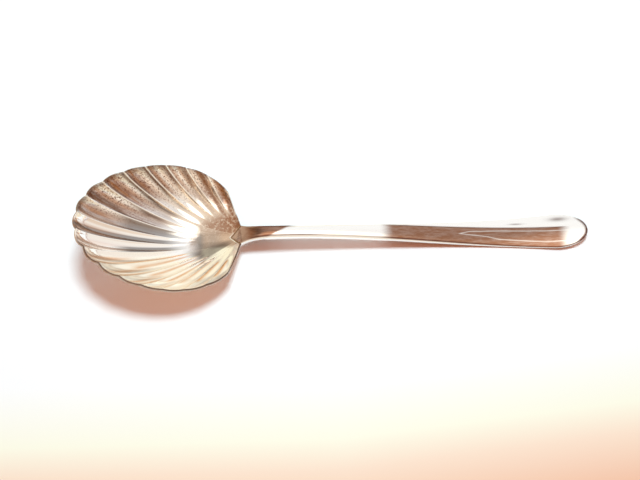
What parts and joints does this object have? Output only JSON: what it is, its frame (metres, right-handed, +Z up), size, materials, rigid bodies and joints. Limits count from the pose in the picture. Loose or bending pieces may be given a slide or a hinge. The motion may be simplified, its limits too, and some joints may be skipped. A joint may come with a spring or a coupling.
{
  "type": "shell-bowl serving spoon",
  "caption": "Serving spoon with a deep fluted scallop-shell bowl, V-let soldered stem and plain rounded, slightly upturned end.",
  "frame": {"origin": "on the table under the middle of the spoon's overall length and width", "axes": "+X along the spoon from the bowl to the stem's end, +Z up out of the bowl, y = 0 the plane of symmetry"},
  "size_m": [0.2302, 0.061, 0.0295],
  "materials": {
    "silver_plate_bowl": "polished silver plate, warm tarnish in the flutes, fine scratches",
    "silver_plate_stem": "polished silver plate, worn bright, fine lengthwise scratches",
    "hard_solder": "silver solder, filed flush and a little duller than the plate"
  },
  "bodies": {
    "root": {"shell_bowl": "silver_plate_bowl", "stem": "silver_plate_stem", "solder_seam": "hard_solder"}
  },
  "joints": []
}
